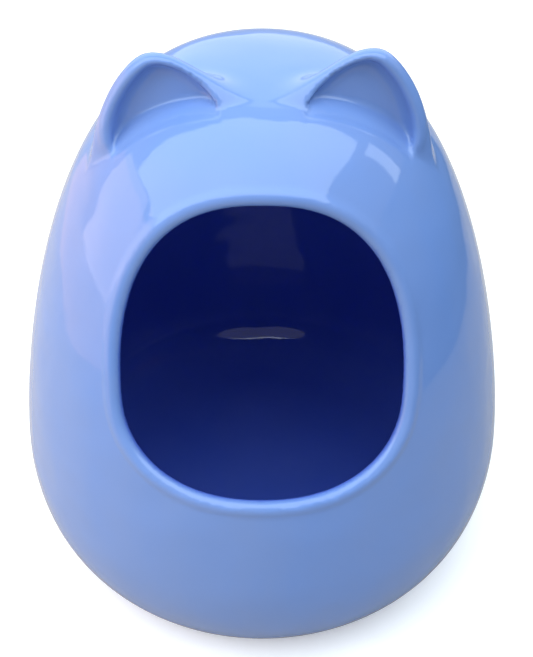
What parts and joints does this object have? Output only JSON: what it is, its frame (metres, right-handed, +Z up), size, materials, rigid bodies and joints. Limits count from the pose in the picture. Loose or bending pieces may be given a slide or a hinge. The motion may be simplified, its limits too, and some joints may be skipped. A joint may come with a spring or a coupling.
{
  "type": "cat cave bed",
  "caption": "Glazed ceramic cat cave cast as a single shell: an upright egg-shaped body with cat ears, a large round doorway with a rolled lip, and a flat foot",
  "frame": {"origin": "middle of the flat foot, on the ground", "axes": "+Z up, doorway faces -Y, ears to +X and -X"},
  "size_m": [0.3999, 0.4, 0.4585],
  "materials": {
    "blue_glaze": "glossy"
  },
  "bodies": {
    "root": {"cave": "blue_glaze"}
  },
  "joints": []
}
